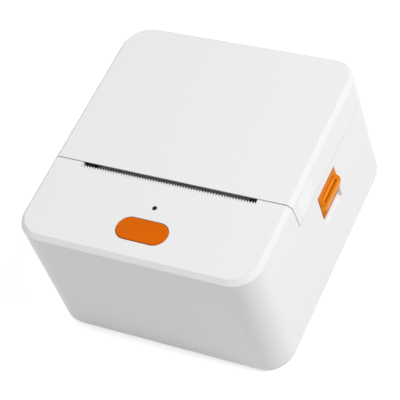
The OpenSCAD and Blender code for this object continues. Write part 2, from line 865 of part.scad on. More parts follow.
// ---------------------------------------------------------------- drive

module at_motor_screws() {
    for (a = motor_screw_angles)
        translate([0, motor_y + motor_screw_r * cos(a), motor_z + motor_screw_r * sin(a)]) children();
}

module stepper_motor() color(steel) on_feet() difference() {
    union() {
        along_x(motor_r, -frame_x, -frame_x + motor_ear_t + motor_l, motor_y, motor_z);
        along_x(motor_boss_r, -frame_x - frame_t + 0.2, -frame_x + 1, motor_y, motor_z);
        at_motor_screws() along_x(motor_ear_r, -frame_x, -frame_x + motor_ear_t);
        for (a = motor_screw_angles) translate([-frame_x, motor_y, motor_z]) rotate([a, 0, 0])
            translate([0, motor_r - 2, -0.85 * motor_ear_r])
                cube([motor_ear_t, motor_screw_r - motor_r + 2, 1.7 * motor_ear_r]);
    }
    along_x(stud_r + fit, -big, 0, motor_y, motor_z);
    at_motor_screws() along_x(screw_r, -big, 0);
}

module motor_screws() color(steel) on_feet() at_motor_screws() {
    along_x(screw_r - fit, -frame_x - frame_t, -frame_x + motor_ear_t + eps);
    along_x(motor_head_r, -frame_x + motor_ear_t, -frame_x + motor_ear_t + motor_head_t);
}

module motor_shaft() color(steel) on_feet()
    along_x(stud_r, -plane_b - gear_t - stud_end, -frame_x + 10, motor_y, motor_z);

module motor_pinion() color(brass) on_feet()
    left_gear(pinion_teeth, motor_y, motor_z, pinion_turn, plane_b, stud_r + seat);

module gear_studs() color(steel) on_feet() {
    wheel_end = -plane_b - gear_t - stud_end;
    along_x(stud_r, -plane_a - gear_t - stud_end, -frame_x, idler_y, idler_z);
    along_x(stud_r, wheel_end - eps, -frame_x, wheel_y, wheel_z);
    along_x(stud_cap_r, wheel_end - stud_cap_t, wheel_end, wheel_y, wheel_z);
}

module idler_gear() color(gear_white) on_feet()
    left_gear(idler_teeth, idler_y, idler_z, idler_turn, plane_a, stud_r + fit);

module reduction_gear() color(gear_white) on_feet() {
    left_gear(small_teeth, wheel_y, wheel_z, small_turn, plane_a, stud_r + fit);
    left_gear(large_teeth, wheel_y, wheel_z, 0, plane_b, stud_r + fit);
    difference() {
        along_x(hub_r, -plane_b - eps, -plane_a - gear_t + eps, wheel_y, wheel_z);
        along_x(stud_r + fit, -big, 0, wheel_y, wheel_z);
    }
}

// ---------------------------------------------------------------- lid

module lid_shell() color(shell_white) on_feet() difference() {
    union() {
        difference() {
            intersection() {
                case_block();
                lid_space(seam_gap / 2, 0);
            }
            translate([0, 0, -1])
                rounded_block(body_w - 2 * lid_wall, body_d - 2 * lid_wall, ceiling + 1,
                              corner_r - lid_wall, 1);
        }
        intersection() {
            case_block();
            union() {
                difference() {
                    intersection() {
                        along_x(roll_r, -roll_end, roll_end, hinge_y, hinge_z);
                        block([-half_w, hinge_y, hinge_z - roll_r], [half_w, half_d + 1, hinge_z + eps]);
                    }
                    along_x(roll_r - lid_wall, -rod_l / 2, rod_l / 2, hinge_y, hinge_z);
                }
                mirrored_x() for (side = [-1, 1]) hinge_knuckle(side);
            }
        }
        mirrored_x() grip_ribs();
    }
    mirrored_x() ear_pocket();
    along_x(rod_r + fit, -big, big, hinge_y, hinge_z);
    slot_lip_cut();
    mirrored_x() for (y = liner_screw_ys)
        translate([liner_screw_x, y, ceiling - 1]) cylinder(r = screw_r, h = 2.3);
}

module hinge_knuckle(side) {
    x0 = ear_x + side * (ear_t / 2 + free);
    x1 = x0 + side * knuckle_t;
    along_x(knuckle_r, x0, x1, hinge_y, hinge_z);
    block([min(x0, x1), hinge_y - knuckle_r, hinge_z], [max(x0, x1), half_d - 1, ceiling + eps]);
}

// Room for a hinge ear through the lid's whole swing
module ear_pocket() {
    x0 = ear_x - ear_t / 2 - free;
    x1 = ear_x + ear_t / 2 + free;
    along_x(ear_r + 0.6, x0, x1, hinge_y, hinge_z);
    block([x0, hinge_y - roll_r - 1, hinge_z - roll_r - 1], [x1, half_d + 1, hinge_z]);
}

// Four fine ribs with round ends on the lid's side
module grip_ribs() {
    rib_r = 0.7;
    rib_out = 0.4;
    rib_x = half_w - rib_r + rib_out;
    first_drop = 4.8;
    pitch = 2.65;
    ends = [seam_y + 4.4, seam_y + 18.2];
    for (i = [0:3]) {
        z = body_h - first_drop - pitch * i;
        along_y(rib_r, ends[0], ends[1], rib_x, z);
        for (y = ends) translate([rib_x, y, z]) sphere(r = rib_r);
    }
}

// Thins the lid to a fine lip over the slot, from below
module slot_lip_cut() {
    front = seam_y + seam_gap / 2;
    side_sweep(-slot_w / 2, slot_w / 2) polygon([
        [front - 1, body_h - lip_t],
        [front, body_h - lip_t],
        [front + lip_d, ceiling],
        [front + lip_d, ceiling - 1],
        [front - 1, ceiling - 1],
    ]);
}

module lid_liner() color(dark_plastic) on_feet() {
    sheet_y = platen_y + platen_r + 0.5;
    cheek_r = bushing_r + 1.1;
    cheek_top = ceiling - 0.2;
    difference() {
        union() {
            block([-tongue_x - 1.5, sheet_y, ceiling - liner_t],
                  [tongue_x + 1.5, liner_rear, ceiling]);
            mirrored_x() {
                side_sweep(liner_cheek_x, liner_cheek_x + liner_cheek_t) {
                    translate([platen_y, platen_z]) circle(r = cheek_r);
                    translate([platen_y - cheek_r, platen_z]) square([2 * cheek_r, cheek_top - platen_z]);
                    translate([platen_y, platen_z - 2]) square([18, cheek_top - platen_z + 2]);
                }
                liner_tongue();
            }
        }
        along_x(bushing_r, -big, big, platen_y, platen_z);
        mirrored_x() for (y = liner_screw_ys)
            translate([liner_screw_x, y, ceiling - 5]) cylinder(r = screw_r, h = 10);
    }
}

// The tongue that the latch holds the lid by
module liner_tongue() {
    low = latch_low + 2.4;
    rear = tongue_y + tongue_l;
    block([tongue_x, tongue_y, low], [tongue_x + tongue_t - 0.4, rear, ceiling - liner_t + eps]);
    block([tongue_x, tongue_y, low], [tongue_x + tongue_t, rear, low + 2.4]);
}

module liner_screws() color(steel) on_feet() {
    mirrored_x() for (y = liner_screw_ys) translate([liner_screw_x, y, ceiling - liner_t]) {
        translate([0, 0, -1.2]) cylinder(r = liner_head_r, h = 1.2);
        translate([0, 0, -eps]) cylinder(r = screw_r - fit, h = liner_t + 1);
    }
}

module platen_bushings() color(dark_plastic) on_feet() mirrored_x() difference() {
    along_x(bushing_r, liner_cheek_x - 0.3, frame_x + frame_t + 0.4, platen_y, platen_z);
    along_x(journal_r + fit, 0, big, platen_y, platen_z);
}

module platen_rubber() color(roller_grey) on_feet() difference() {
    along_x(platen_r, -platen_l / 2, platen_l / 2, platen_y, platen_z);
    along_x(core_r, -big, big, platen_y, platen_z);
}

module platen_shaft() color(steel) on_feet() {
    along_x(core_r, -platen_l / 2, platen_l / 2, platen_y, platen_z);
    along_x(journal_r, -plane_a + 0.1, frame_x + frame_t + 0.8, platen_y, platen_z);
    along_x(axle_r, -plane_a - gear_t - stud_end, -plane_a + 0.2, platen_y, platen_z);
}

module platen_gear() color(gear_white) on_feet()
    left_gear(platen_teeth, platen_y, platen_z, 0, plane_a, axle_r + seat);

module hinge_rod() color(steel) on_feet() along_x(rod_r, -rod_l / 2, rod_l / 2, hinge_y, hinge_z);

// ---------------------------------------------------------------- latches

// How far the latch's face stands out of the side, at a distance under its top edge
function latch_face(drop) =
    let (t = (drop - bulge_drop) / (latch_h - bulge_drop))
    drop <= bulge_drop ? 0.02 + 0.07 * drop
                       : max(0.15, latch_bulge * pow(sin(180 * pow(t, 0.551)), 1.15));

module latch() {
    steps = 32;
    ridge_ends = [2.3, 2.9];
    y0 = latch_y;
    y1 = latch_y + latch_l;
    inside = half_w - latch_in;
    drops = concat([0, bulge_drop], [
        for (i = [1:steps]) bulge_drop + (latch_h - bulge_drop) * pow(i / steps, 1.5),
    ]);
    difference() {
        union() {
            translate([0, y1, 0]) rotate([90, 0, 0]) linear_extrude(latch_l) polygon(concat(
                [[inside, latch_top]],
                [for (drop = drops) [half_w + latch_face(drop), latch_top - drop]],
                [[inside, latch_low]]
            ));
            along_y(ridge_r, y0 + ridge_ends[0], y1 - ridge_ends[1],
                    half_w + ridge_out - ridge_r, latch_top - ridge_drop);
            block([inside - 0.6, tongue_y + 1, latch_low + 5.2],
                  [inside + eps, tongue_y + tongue_l - 1, latch_low + 8]);
        }
        front_slope(y0);
        for (drop = furrow_drops)
            along_y(furrow_r, y0 + ridge_ends[0], y1 - ridge_ends[1],
                    half_w + latch_face(drop) + 0.05, latch_top - drop);
        along_y(pin_r + fit, y0 - 1, y1 + 1, pin_x, pin_z);
        block([inside - 1, ring_y - 0.4, pin_z - ring_r - 0.45],
              [pin_x + ring_r + 0.35, ring_y + ring_l + 0.4, pin_z + ring_r + 0.45]);
    }
}

// Slope that brings the front end of the latch down to the side
module front_slope(y0) {
    translate([0, 0, -big / 2]) linear_extrude(big)
        polygon([[half_w, y0 - 1], [half_w, y0], [half_w + 4, y0 + 4.2], [half_w + 4, y0 - 1]]);
}

module latch_right() color(accent_orange) on_feet() latch();

module latch_left() color(accent_orange) on_feet() mirror([1, 0, 0]) latch();

module latch_pins() color(steel) on_feet() mirrored_x()
    along_y(pin_r, pin_front, pin_rear, pin_x, pin_z);

// Turns of the latch's torsion spring around its pin
module latch_spring() {
    translate([pin_x, ring_y, pin_z]) rotate([-90, 0, 0]) coil(ring_r, ring_wire, ring_l, 5);
}

module latch_spring_right() color(steel) on_feet() latch_spring();

module latch_spring_left() color(steel) on_feet() mirror([1, 0, 0]) latch_spring();

// ---------------------------------------------------------------- button, lamp and boards

// A strip under the panel, whose toothed edge rises in the slot to the panel's top
module tear_bar() color(shell_white) on_feet() {
    count = floor(slot_w / tooth_pitch);
    first = -count * tooth_pitch / 2;
    root_y = slot_y + bar_root;
    teeth = [
        for (i = [0:count - 1]) each [
            [first + i * tooth_pitch, root_y],
            [first + (i + 0.5) * tooth_pitch, root_y + tooth_l],
        ],
    ];
    low = bar_top - bar_t;
    block([-slot_w / 2, slot_y - bar_d, low], [slot_w / 2, root_y, bar_top]);
    translate([0, 0, low]) linear_extrude(teeth_top - low) polygon(concat(
        [[slot_w / 2, slot_y + seat], [-slot_w / 2, slot_y + seat], [-slot_w / 2, root_y]],
        teeth,
        [[-first, root_y], [slot_w / 2, root_y]]
    ));
}

module light_pipe() color([0.08, 0.08, 0.09]) on_feet() translate([lamp_x, lamp_y, 0]) {
    translate([0, 0, button_board_top + 2]) cylinder(r = lamp_r + 0.6, h = 1.2);
    translate([0, 0, button_board_top + 2]) cylinder(r = lamp_r, h = body_h - button_board_top - 2.1);
}

module button_board() color(board_green) on_feet()
    block([-button_board_x, -half_d + wall + 2, button_board_z],
          [button_board_x, button_board_rear, button_board_top]);

module on_button_board() {
    translate([button_x, button_y, button_board_top]) children();
}

module tact_switch() color(dark_plastic) on_feet() on_button_board() difference() {
    translate([-3, -3, 0]) cube([6, 6, switch_h]);
    translate([0, 0, switch_h - button_travel - 0.5]) cylinder(r = plunger_r + 0.1, h = 5);
}

module switch_plunger() color(gear_white) on_feet() on_button_board()
    translate([0, 0, switch_h - 0.3]) cylinder(r = plunger_r, h = plunger_h + 0.3);

module status_led() color([0.9, 0.9, 0.8]) on_feet()
    translate([lamp_x - 1.5, lamp_y - 0.75, button_board_top]) cube([3, 1.5, 1.2]);

module feed_button() color(accent_orange) on_feet() translate([button_x, button_y, 0]) {
    stem_z = button_board_top + switch_h + plunger_h;
    translate([0, 0, stem_z]) cylinder(r = 2.2, h = flange_top - stem_z);
    translate([0, 0, flange_top - flange_t])
        stadium(button_l + 2 * flange_out, button_w + 2 * flange_out, flange_t);
    translate([0, 0, flange_top - flange_t])
        stadium(button_l, button_w, body_h + button_proud - 0.4 - flange_top + flange_t);
    translate([0, 0, body_h - 1]) stadium(button_l - 0.8, button_w - 0.8, button_proud + 1);
}

module main_board() color(board_green) on_feet() difference() {
    block([board_left, board_front, board_z], [board_right, board_rear, board_top]);
    post_clearance();
}

// Chips as [x, y, length, width, height]
chips = [
    [-4, board_front + 42, 12, 12, 1.4],
    [20, board_front + 36, 8, 8, 1.2],
    [-15, board_rear - 10, 7, 5, 1.5],
    [30, board_rear - 8, 10, 6, 1.6],
];
capacitor_xs = [-17, -9, 28];
capacitor_r = 3.2;
motor_plug = [[30, board_front + 20], [38, board_front + 25], 3.2];

// Chips, capacitors and plugs on the main board
module main_board_parts() color([0.10, 0.10, 0.11]) on_feet() translate([0, 0, board_top]) {
    for (c = chips) translate([c[0] - c[2] / 2, c[1] - c[3] / 2, 0]) cube([c[2], c[3], c[4]]);
    for (x = capacitor_xs) translate([x, board_front + 6, 0]) cylinder(r = capacitor_r, h = 8);
    block([ribbon_x[0] - 1, ribbon_y - 2, 0], [ribbon_x[1] + 1, ribbon_y + 2, ribbon_plug_h]);
    block(concat(motor_plug[0], 0), concat(motor_plug[1], motor_plug[2]));
}

module port_board() color(board_green) on_feet() difference() {
    block([port_left, port_front, board_z], [port_right, port_rear, board_top]);
    post_clearance();
}

module power_socket() color(dark_plastic) on_feet() {
    front = half_d - wall - 0.2;
    bore_end = half_d - 9.5;
    difference() {
        union() {
            block([jack_x - jack_w / 2, port_rear - 12, board_top],
                  [jack_x + jack_w / 2, front, board_top + jack_h]);
            along_y(jack_w / 2 - 0.3, front - eps, half_d - socket_inset, jack_x, jack_z);
        }
        along_y(3.2, bore_end, half_d + 1, jack_x, jack_z);
    }
    along_y(1, bore_end - 0.5, half_d - 2, jack_x, jack_z);
}

module usb_socket() color(steel) on_feet() {
    translate([usb_x, half_d - socket_inset, usb_z]) rotate([90, 0, 0]) difference() {
        stadium(usb_w, usb_h, 7.4);
        translate([0, 0, -1]) stadium(usb_w - 0.6, usb_h - 0.6, 6.5);
    }
    translate([usb_x - 3.3, half_d - socket_inset - 6, usb_z - 0.35]) cube([6.6, 5, 0.7]);
}

module lid_sensor() color(dark_plastic) on_feet()
    block([frame_x + frame_t, frame_rear - 7, frame_top - 13],
          [frame_x + frame_t + 3.5, frame_rear - 3, frame_top - 8]);

main_housing();
base_plate();
rubber_feet();
base_screws();
roll_tray();
mechanism_frame();
frame_screws();
tear_bar();
light_pipe();
button_board();
tact_switch();
status_led();
main_board();
main_board_parts();
port_board();
power_socket();
usb_socket();
stepper_motor();
motor_screws();
gear_studs();
spring_plate();
head_pin();
head_springs();
head_ribbon();
media_guide();
label_sensor();
lid_sensor();
hinge_rod();
latch_pins();
lid_shell();
lid_liner();
liner_screws();
platen_bushings();
platen_rubber();
platen_shaft();
platen_gear();
idler_gear();
reduction_gear();
motor_shaft();
motor_pinion();
head_heat_sink();
thermal_head();
head_driver_cover();
roll_guide_left();
guide_rack_left();
roll_guide_right();
guide_rack_right();
guide_pinion();
latch_left();
latch_right();
latch_spring_left();
latch_spring_right();
feed_button();
switch_plunger();
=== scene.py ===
"""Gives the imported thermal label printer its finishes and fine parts, and sets up its studio."""

import logging
import math
from dataclasses import dataclass, field
from enum import Enum

import bmesh
import bpy
from mathutils import Matrix, Vector


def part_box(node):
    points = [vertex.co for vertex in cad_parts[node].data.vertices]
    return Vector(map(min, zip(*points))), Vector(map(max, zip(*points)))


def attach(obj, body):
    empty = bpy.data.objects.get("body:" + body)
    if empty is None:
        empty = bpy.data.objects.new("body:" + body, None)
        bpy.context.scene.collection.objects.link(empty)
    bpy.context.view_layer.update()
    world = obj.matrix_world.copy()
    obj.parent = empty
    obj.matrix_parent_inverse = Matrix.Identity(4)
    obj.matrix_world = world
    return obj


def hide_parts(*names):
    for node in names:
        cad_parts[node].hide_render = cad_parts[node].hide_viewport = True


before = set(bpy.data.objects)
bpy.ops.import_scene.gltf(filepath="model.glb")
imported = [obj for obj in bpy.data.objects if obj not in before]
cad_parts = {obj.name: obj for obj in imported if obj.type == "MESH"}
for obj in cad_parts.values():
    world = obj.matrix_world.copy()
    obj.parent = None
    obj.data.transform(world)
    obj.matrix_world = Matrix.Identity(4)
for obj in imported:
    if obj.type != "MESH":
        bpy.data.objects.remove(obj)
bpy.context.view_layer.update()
MM = 0.001
LOG = logging.getLogger("label_printer")

ROUGHNESS_SPREAD = 0.12
EDGE_TURN = (0.985, 0.8)
WEAR_PATCHES = (0.35, 0.65)
DUST_PATCHES = (0.3, 0.7)

Colour = tuple[float, float, float]
Point = tuple[float, float, float]


def corners(node: str) -> tuple[list[float], list[float]]:
    """The lowest and highest corner of a CAD node, in millimetres.

    Args:
        node: the node's name

    Returns:
        both corners
    """
    low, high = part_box(node)
    return [value / MM for value in low], [value / MM for value in high]


def srgb(red: int, green: int, blue: int) -> Colour:
    """Turns 8-bit display values into the linear values that shaders take.

    Args:
        red: red, from 0 to 255
        green: green, from 0 to 255
        blue: blue, from 0 to 255

    Returns:
        the linear colour
    """
    def linear(value: int) -> float:
        """Turns one channel into its linear value.

        Args:
            value: the channel, from 0 to 255

        Returns:
            the linear value
        """
        part = value / 255
        return part / 12.92 if part <= 0.04045 else ((part + 0.055) / 1.055) ** 2.4
    return linear(red), linear(green), linear(blue)


class Texture(Enum):
    """What the surface relief of a finish looks like."""

    MOULDED = "moulded"
    BRUSHED = "brushed"
    GROUND = "ground"
    SMOOTH = "smooth"


class Axis(Enum):
    """The direction that brushing or grinding lines run along."""

    X = (0.04, 1.0, 1.0)
    Y = (1.0, 0.04, 1.0)
    Z = (1.0, 1.0, 0.04)


class Tree:
    """A shader node tree that is filled one node at a time."""

    def __init__(self, tree: bpy.types.NodeTree) -> None:
        """Keeps the tree and empties it.

        Args:
            tree: the material's, world's or group's node tree
        """
        self.tree = tree
        tree.nodes.clear()

    def add(self, kind: str, inputs: dict | None = None, **settings: object) -> bpy.types.Node:
        """Adds one node, sets its sockets and links what feeds them.

        Args:
            kind: the node's type without its leading ShaderNode
            inputs: each input socket's name or number, with a value or the socket that feeds it
            settings: the node's own properties

        Returns:
            the new node
        """
        name = kind if kind.startswith("Node") else f"ShaderNode{kind}"
        made = self.tree.nodes.new(name)
        for key, value in settings.items():
            setattr(made, key, value)
        for key, value in (inputs or {}).items():
            if isinstance(value, bpy.types.NodeSocket):
                self.tree.links.new(value, made.inputs[key])
            elif isinstance(value, tuple) and len(value) == 3 and made.inputs[key].type == "RGBA":
                made.inputs[key].default_value = (*value, 1.0)
            else:
                made.inputs[key].default_value = value
        return made

    def math(self, operation: str, first: object, second: object = 0.0, third: object = 0.0,
             clamp: bool = False) -> bpy.types.NodeSocket:
        """Adds a Math node and returns its result.

        Args:
            operation: the Math node's operation
            first: the first value or socket
            second: the second value or socket
            third: the third value or socket
            clamp: whether the result is kept from 0 to 1

        Returns:
            the node's output socket
        """
        made = self.add("Math", {0: first, 1: second, 2: third}, operation=operation, use_clamp=clamp)
        return made.outputs[0]

    def ramp(self, value: bpy.types.NodeSocket, low: float, high: float) -> bpy.types.NodeSocket:
        """Stretches a value so that low becomes 0 and high becomes 1, and clips it.

        Args:
            value: the socket to stretch
            low: the value that becomes 0
            high: the value that becomes 1

        Returns:
            the stretched value
        """
        made = self.add("MapRange", {"Value": value, "From Min": low, "From Max": high}, clamp=True)
        return made.outputs["Result"]

    def mix(self, factor: object, first: object, second: object) -> bpy.types.NodeSocket:
        """Mixes two colours.

        Args:
            factor: the share of the second colour
            first: the first colour or socket
            second: the second colour or socket

        Returns:
            the mixed colour
        """
        made = self.add("Mix", {0: factor, 6: first, 7: second}, data_type="RGBA")
        return made.outputs[2]


def open_group(name: str, inputs: dict[str, object], outputs: dict[str, str]) -> tuple:
    """Starts a shader node group with named sockets.

    Args:
        name: the group's name
        inputs: each input's name with its default value
        outputs: each output's name with its socket type

    Returns:
        the group, its Tree, its input node and its output node
    """
    group = bpy.data.node_groups.new(name, "ShaderNodeTree")
    for key, value in inputs.items():
        kind = "NodeSocketColor" if isinstance(value, tuple) and len(value) == 4 else (
            "NodeSocketVector" if isinstance(value, tuple) else "NodeSocketFloat")
        socket = group.interface.new_socket(name=key, in_out="INPUT", socket_type=kind)
        socket.default_value = value
    for key, kind in outputs.items():
        group.interface.new_socket(name=key, in_out="OUTPUT", socket_type=kind)
    tree = Tree(group)
    return group, tree, tree.add("NodeGroupInput"), tree.add("NodeGroupOutput")


class SurfaceEffects:
    """The node groups that several finishes share, each built once."""

    def __init__(self) -> None:
        """Builds every group."""
        self.mottle = self._mottle()
        self.moulded = self._moulded()
        self.lines = self._lines()
        self.edge_wear = self._edge_wear()
        self.dust = self._dust()

    def _mottle(self) -> bpy.types.NodeTree:
        """Slow brightness changes in a colour, as moulded plastic shows.

        Returns:
            the group
        """
        group, tree, given, out = open_group(
            "surface_mottle", {"Colour": (1.0, 1.0, 1.0, 1.0), "Scale": 20.0, "Amount": 0.03},
            {"Colour": "NodeSocketColor", "Mask": "NodeSocketFloat"})
        place = tree.add("TexCoord").outputs["Object"]
        noise = tree.add("TexNoise", {"Vector": place, "Scale": given.outputs["Scale"], "Detail": 4.0})
        shift = tree.math("SUBTRACT", noise.outputs["Fac"], 0.5)
        value = tree.math("MULTIPLY_ADD", shift, given.outputs["Amount"], 1.0)
        tinted = tree.add("HueSaturation", {"Value": value, "Color": given.outputs["Colour"]})
        tree.tree.links.new(tinted.outputs["Color"], out.inputs["Colour"])
        tree.tree.links.new(noise.outputs["Fac"], out.inputs["Mask"])
        return group

    def _moulded(self) -> bpy.types.NodeTree:
        """The fine spark-eroded relief of a mould.

        Returns:
            the group
        """
        group, tree, given, out = open_group(
            "moulded_grain", {"Scale": 1800.0, "Depth": 1.0}, {"Height": "NodeSocketFloat"})
        place = tree.add("TexCoord").outputs["Object"]
        cells = tree.add("TexVoronoi", {"Vector": place, "Scale": given.outputs["Scale"]},
                         feature="SMOOTH_F1")
        noise = tree.add("TexNoise", {"Vector": place, "Scale": given.outputs["Scale"], "Detail": 2.0})
        both = tree.math("ADD", cells.outputs["Distance"], noise.outputs["Fac"])
        height = tree.math("MULTIPLY", both, given.outputs["Depth"])
        tree.tree.links.new(height, out.inputs["Height"])
        return group

    def _lines(self) -> bpy.types.NodeTree:
        """Brushing or grinding lines along one direction.

        Returns:
            the group
        """
        group, tree, given, out = open_group(
            "tool_lines", {"Scale": 3000.0, "Depth": 1.0, "Stretch": (1.0, 1.0, 0.04)},
            {"Height": "NodeSocketFloat", "Mask": "NodeSocketFloat"})
        place = tree.add("TexCoord").outputs["Object"]
        drawn = tree.add("VectorMath", {0: place, 1: given.outputs["Stretch"]}, operation="MULTIPLY")
        noise = tree.add("TexNoise", {"Vector": drawn.outputs[0], "Scale": given.outputs["Scale"],
                                      "Detail": 3.0})
        height = tree.math("MULTIPLY", noise.outputs["Fac"], given.outputs["Depth"])
        tree.tree.links.new(height, out.inputs["Height"])
        tree.tree.links.new(noise.outputs["Fac"], out.inputs["Mask"])
        return group

    def _edge_wear(self) -> bpy.types.NodeTree:
        """A mask of outer edges that are rubbed bright, and their softened normal.

        Returns:
            the group
        """
        group, tree, given, out = open_group(
            "edge_wear", {"Radius": 0.0003, "Amount": 1.0, "Scale": 300.0},
            {"Mask": "NodeSocketFloat", "Normal": "NodeSocketVector"})
        place = tree.add("TexCoord").outputs["Object"]
        rounded = tree.add("Bevel", {"Radius": given.outputs["Radius"]}, samples=4)
        true_normal = tree.add("NewGeometry").outputs["Normal"]
        turn = tree.add("VectorMath", {0: rounded.outputs[0], 1: true_normal}, operation="DOT_PRODUCT")
        edge = tree.ramp(turn.outputs["Value"], *EDGE_TURN)
        noise = tree.add("TexNoise", {"Vector": place, "Scale": given.outputs["Scale"], "Detail": 3.0})
        patchy = tree.math("MULTIPLY", edge, tree.ramp(noise.outputs["Fac"], *WEAR_PATCHES))
        mask = tree.math("MULTIPLY", patchy, given.outputs["Amount"], clamp=True)
        tree.tree.links.new(mask, out.inputs["Mask"])
        tree.tree.links.new(rounded.outputs[0], out.inputs["Normal"])
        return group

    def _dust(self) -> bpy.types.NodeTree:
        """A mask of the corners and hollows where dust stays.

        Returns:
            the group
        """
        group, tree, given, out = open_group(
            "corner_dust", {"Amount": 0.3, "Reach": 0.002, "Scale": 900.0},
            {"Mask": "NodeSocketFloat"})
        place = tree.add("TexCoord").outputs["Object"]
        hollow = tree.add("AmbientOcclusion", {"Distance": given.outputs["Reach"]}, samples=4)
        closed = tree.math("SUBTRACT", 1.0, hollow.outputs["AO"])
        noise = tree.add("TexNoise", {"Vector": place, "Scale": given.outputs["Scale"], "Detail": 4.0})
        speckled = tree.math("MULTIPLY", closed, tree.ramp(noise.outputs["Fac"], *DUST_PATCHES))
        mask = tree.math("MULTIPLY", speckled, given.outputs["Amount"], clamp=True)
        tree.tree.links.new(mask, out.inputs["Mask"])
        return group


@dataclass(frozen=True)
class Finish:
    """One material of the printer and how it is drawn."""

    name: str
    slot: str
    colour: Colour
    roughness: float
    texture: Texture = Texture.MOULDED
    scale: float = 1800.0
    depth: float = 0.00001
    axis: Axis = Axis.X
    metallic: float = 0.0
    mottle: float = 0.02
    wear: float = 0.15
    wear_colour: Colour = (0.95, 0.95, 0.95)
    round_edge: float = 0.0002
    dust: float = 0.0
    dust_colour: Colour = (0.55, 0.53, 0.5)
    coat: float = 0.0
    specular: float = 0.5
    sheen: float = 0.0

    def material(self, effects: SurfaceEffects) -> bpy.types.Material:
        """Builds the material.

        Args:
            effects: the shared node groups

        Returns:
            the material
        """
        made = bpy.data.materials.new(self.name)
        made.use_nodes = True
        made.diffuse_color = (*self.colour, 1.0)
        tree = Tree(made.node_tree)
        colour, mask = self._colour(tree, effects)
        wear = self._group(tree, effects.edge_wear, {"Radius": self.round_edge, "Amount": self.wear})
        worn = tree.mix(wear.outputs["Mask"], colour, self.wear_colour)
        if self.dust:
            dusty = self._group(tree, effects.dust, {"Amount": self.dust})
            worn = tree.mix(dusty.outputs["Mask"], worn, self.dust_colour)
        shift = tree.math("SUBTRACT", mask, 0.5)
        spread = tree.math("MULTIPLY_ADD", shift, ROUGHNESS_SPREAD, self.roughness)
        shader = tree.add("BsdfPrincipled", {
            "Base Color": worn, "Roughness": spread, "Metallic": self.metallic,
            "Coat Weight": self.coat, "Specular IOR Level": self.specular,
            "Sheen Weight": self.sheen})
        normal = self._normal(tree, effects, wear.outputs["Normal"])
        tree.tree.links.new(normal, shader.inputs["Normal"])
        out = tree.add("OutputMaterial")
        tree.tree.links.new(shader.outputs[0], out.inputs["Surface"])
        return made

    @staticmethod
    def _group(tree: Tree, group: bpy.types.NodeTree, inputs: dict) -> bpy.types.Node:
        """Places a shared group.

        Args:
            tree: the material's tree
            group: the group
            inputs: its values

        Returns:
            the group node
        """
        return tree.add("Group", inputs, node_tree=group)

    def _colour(self, tree: Tree, effects: SurfaceEffects) -> tuple:
        """Makes the base colour.

        Args:
            tree: the material's tree
            effects: the shared node groups

        Returns:
            the colour and the mask of its slow changes
        """
        base = self._group(tree, effects.mottle, {
            "Colour": (*self.colour, 1.0), "Amount": self.mottle})
        return base.outputs["Colour"], base.outputs["Mask"]

    def _normal(self, tree: Tree, effects: SurfaceEffects,
                rounded: bpy.types.NodeSocket) -> bpy.types.NodeSocket:
        """Adds the relief on top of the rounded edges.

        Args:
            tree: the material's tree
            effects: the shared node groups
            rounded: the normal that the edges' rounding gives

        Returns:
            the final normal
        """
        if self.texture is Texture.SMOOTH:
            return rounded
        if self.texture is Texture.MOULDED:
            relief = self._group(tree, effects.moulded, {"Scale": self.scale})
        else:
            relief = self._group(tree, effects.lines, {
                "Scale": self.scale, "Stretch": self.axis.value})
        bump = tree.add("Bump", {"Height": relief.outputs["Height"], "Distance": self.depth,
                                 "Strength": 1.0, "Normal": rounded})
        return bump.outputs["Normal"]


@dataclass(frozen=True)
class BoardFinish(Finish):
    """A circuit board's solder mask with its traces and pads."""

    trace_colour: Colour = (0.09, 0.42, 0.22)
    pad_colour: Colour = (0.75, 0.72, 0.6)
    pitch: float = 260.0
    trace_edge: tuple[float, float] = (0.07, 0.04)
    pad_pitch: float = 1.7
    pad_edge: tuple[float, float] = (0.16, 0.13)

    def _colour(self, tree: Tree, effects: SurfaceEffects) -> tuple:
        """Draws traces and pads in the solder mask.

        Args:
            tree: the material's tree
            effects: the shared node groups

        Returns:
            the colour and the mask of its slow changes
        """
        base, mask = super()._colour(tree, effects)
        place = tree.add("TexCoord").outputs["Object"]
        nets = tree.add("TexVoronoi", {"Vector": place, "Scale": self.pitch},
                        feature="DISTANCE_TO_EDGE")
        trace = tree.ramp(nets.outputs["Distance"], *self.trace_edge)
        dots = tree.add("TexVoronoi", {"Vector": place, "Scale": self.pitch * self.pad_pitch},
                        distance="CHEBYCHEV")
        pad = tree.ramp(dots.outputs["Distance"], *self.pad_edge)
        traced = tree.mix(trace, base, self.trace_colour)
        return tree.mix(pad, traced, self.pad_colour), mask


@dataclass(frozen=True)
class FilmFinish(Finish):
    """A flexible ribbon's film with its parallel conductors."""

    conductor: Colour = (0.62, 0.36, 0.12)
    pitch: float = 1000.0

    def _colour(self, tree: Tree, effects: SurfaceEffects) -> tuple:
        """Draws the conductors along the ribbon.

        Args:
            tree: the material's tree
            effects: the shared node groups

        Returns:
            the colour and the mask of its slow changes
        """
        base, mask = super()._colour(tree, effects)
        place = tree.add("TexCoord").outputs["Object"]
        across = tree.add("SeparateXYZ", {0: place}).outputs["X"]
        turns = tree.math("MULTIPLY", across, self.pitch)
        line = tree.ramp(tree.math("FRACT", turns), 0.45, 0.55)
        return tree.mix(line, base, self.conductor), mask


